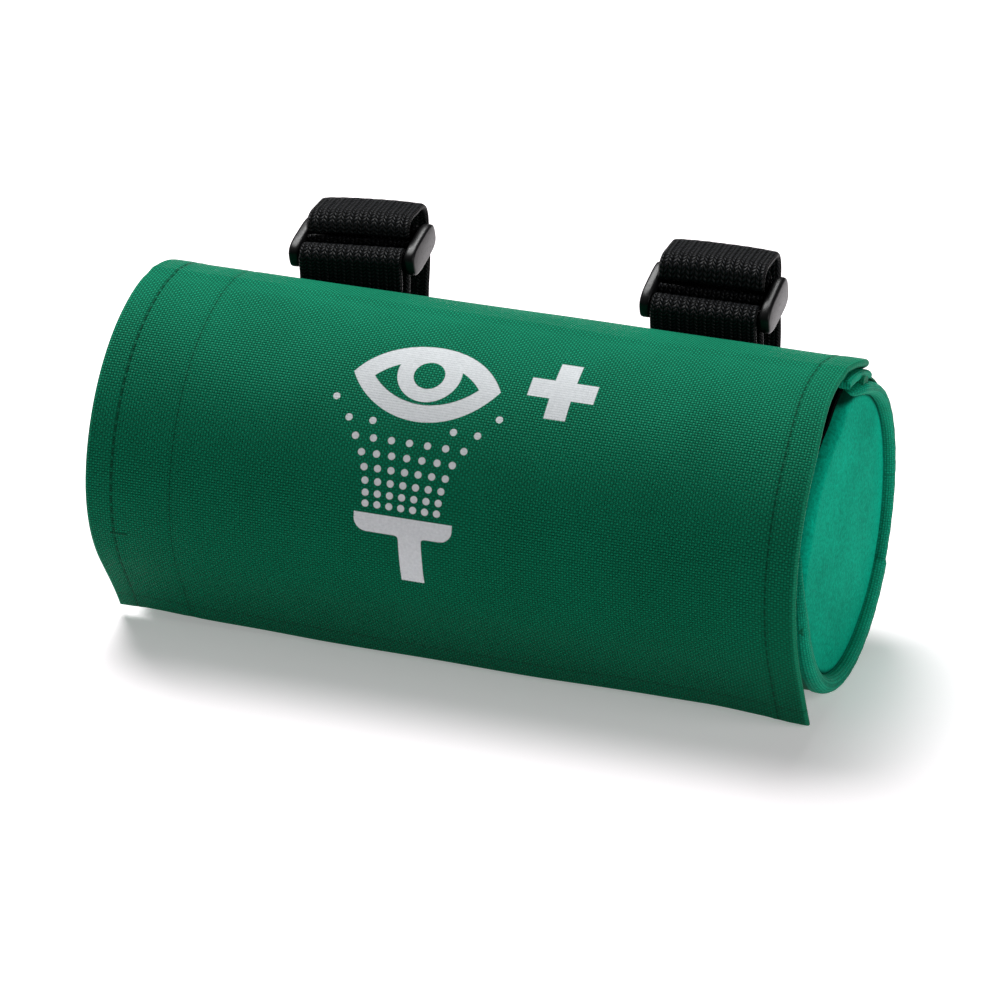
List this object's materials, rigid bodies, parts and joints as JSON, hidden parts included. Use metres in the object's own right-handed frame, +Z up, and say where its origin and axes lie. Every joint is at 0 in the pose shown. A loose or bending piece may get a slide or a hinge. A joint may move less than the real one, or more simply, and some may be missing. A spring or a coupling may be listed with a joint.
{
  "type": "eyewash bottle belt pouch",
  "caption": "Padded cylindrical belt pouch with a wrap-over flap, webbing belt loops with ladder-lock buckles, and an eyewash bottle with an eye cup inside.",
  "frame": {"origin": "centre of the bounding box in plan, on the surface that the pouch rests on", "axes": "+X along the pouch to its uncovered end, +Y to the back with the belt loops, +Z up; the printed front faces -Y"},
  "size_m": [0.19, 0.0884, 0.0924],
  "materials": {
    "green_cloth": "coarse woven coated nylon, matt",
    "green_tape": "turned and stitched cloth edge",
    "end_cloth": "smooth close-woven cloth",
    "foam": "closed-cell foam sheet",
    "black_lining": "plain woven lining",
    "fastener_tape": "hook and loop tape",
    "black_webbing": "coarse woven webbing",
    "buckle_plastic": "moulded, slightly glossy",
    "bottle_plastic": "translucent blow-moulded",
    "clear_fluid": "clear sterile saline",
    "foil": "thin foil laminate",
    "label_paper": "blank satin label",
    "cup_plastic": "soft moulded",
    "nozzle_plastic": "moulded",
    "cap_plastic": "moulded, satin"
  },
  "bodies": {
    "pouch": {"body_cover": "green_cloth", "body_padding": "foam", "body_lining": "black_lining", "front_edge_binding": "green_tape", "top_edge_binding": "green_tape", "left_end_cover": "end_cloth", "left_end_padding": "foam", "left_end_lining": "black_lining", "left_rim": "green_tape", "right_end_cover": "end_cloth", "right_end_padding": "foam", "right_end_lining": "black_lining", "right_rim": "green_tape", "flap_root_cover": "green_cloth", "flap_root_seam": "foam", "left_loop_strip": "fastener_tape", "right_loop_strip": "fastener_tape", "rim_tape_end": "green_tape", "left_loop_web": "black_webbing", "left_loop_tab": "black_webbing", "right_loop_web": "black_webbing", "right_loop_tab": "black_webbing"},
    "flap_1": {"flap_lining_1": "black_lining", "flap_padding_1": "foam", "flap_cover_1": "green_cloth"},
    "flap_2": {"flap_lining_2": "black_lining", "flap_padding_2": "foam", "flap_cover_2": "green_cloth"},
    "flap_3": {"flap_lining_3": "black_lining", "flap_padding_3": "foam", "flap_cover_3": "green_cloth"},
    "flap_4": {"flap_lining_4": "black_lining", "flap_padding_4": "foam", "flap_cover_4": "green_cloth", "left_hook_strip": "fastener_tape", "right_hook_strip": "fastener_tape"},
    "left_buckle": {"left_loop_web_end": "black_webbing", "left_buckle": "buckle_plastic"},
    "right_buckle": {"right_loop_web_end": "black_webbing", "right_buckle": "buckle_plastic"},
    "bottle": {"bottle_shell": "bottle_plastic", "eyewash_fluid": "clear_fluid", "mouth_seal": "foil", "blank_label": "label_paper", "eye_cup": "cup_plastic", "spray_nozzle": "nozzle_plastic"},
    "dust_cap": {"dust_cap": "cap_plastic"}
  },
  "joints": [
    {"name": "flap_open", "type": "hinge", "parent": "pouch", "child": "flap_1", "pos_m": [0.0015, 0.00728, 0.08273], "axis": [-1, 0, 0], "range_deg": [0, 90]},
    {"name": "flap_bend_upper", "type": "hinge", "parent": "flap_1", "child": "flap_2", "pos_m": [0.0015, -0.02095, 0.07826], "axis": [-1, 0, 0], "range_deg": [0, 38]},
    {"name": "flap_bend_middle", "type": "hinge", "parent": "flap_2", "child": "flap_3", "pos_m": [0.0015, -0.04044, 0.05736], "axis": [-1, 0, 0], "range_deg": [0, 38]},
    {"name": "flap_bend_lower", "type": "hinge", "parent": "flap_3", "child": "flap_4", "pos_m": [0.0015, -0.04328, 0.03037], "axis": [-1, 0, 0], "range_deg": [0, 26]},
    {"name": "bottle_lift", "type": "slide", "parent": "pouch", "child": "bottle", "axis": [0, -0.5225, 0.8526], "range_m": [0, 0.055]},
    {"name": "dust_cap_twist", "type": "hinge", "parent": "bottle", "child": "dust_cap", "pos_m": [0.0865, -0.00034, 0.0326], "axis": [1, 0, 0], "range_deg": [0, 120]},
    {"name": "left_buckle_tilt", "type": "hinge", "parent": "pouch", "child": "left_buckle", "pos_m": [-0.048, 0.02511, 0.08219], "axis": [1, 0, 0], "range_deg": [-6, 6]},
    {"name": "right_buckle_tilt", "type": "hinge", "parent": "pouch", "child": "right_buckle", "pos_m": [0.047, 0.02511, 0.08219], "axis": [1, 0, 0], "range_deg": [-6, 6]}
  ],
  "couplings": [
    {"joint": "flap_open", "follows": "bottle_lift", "rad_per_m": 28.56},
    {"joint": "flap_bend_upper", "follows": "bottle_lift", "rad_per_m": 12.059},
    {"joint": "flap_bend_middle", "follows": "bottle_lift", "rad_per_m": 12.059},
    {"joint": "flap_bend_lower", "follows": "bottle_lift", "rad_per_m": 8.2506}
  ]
}
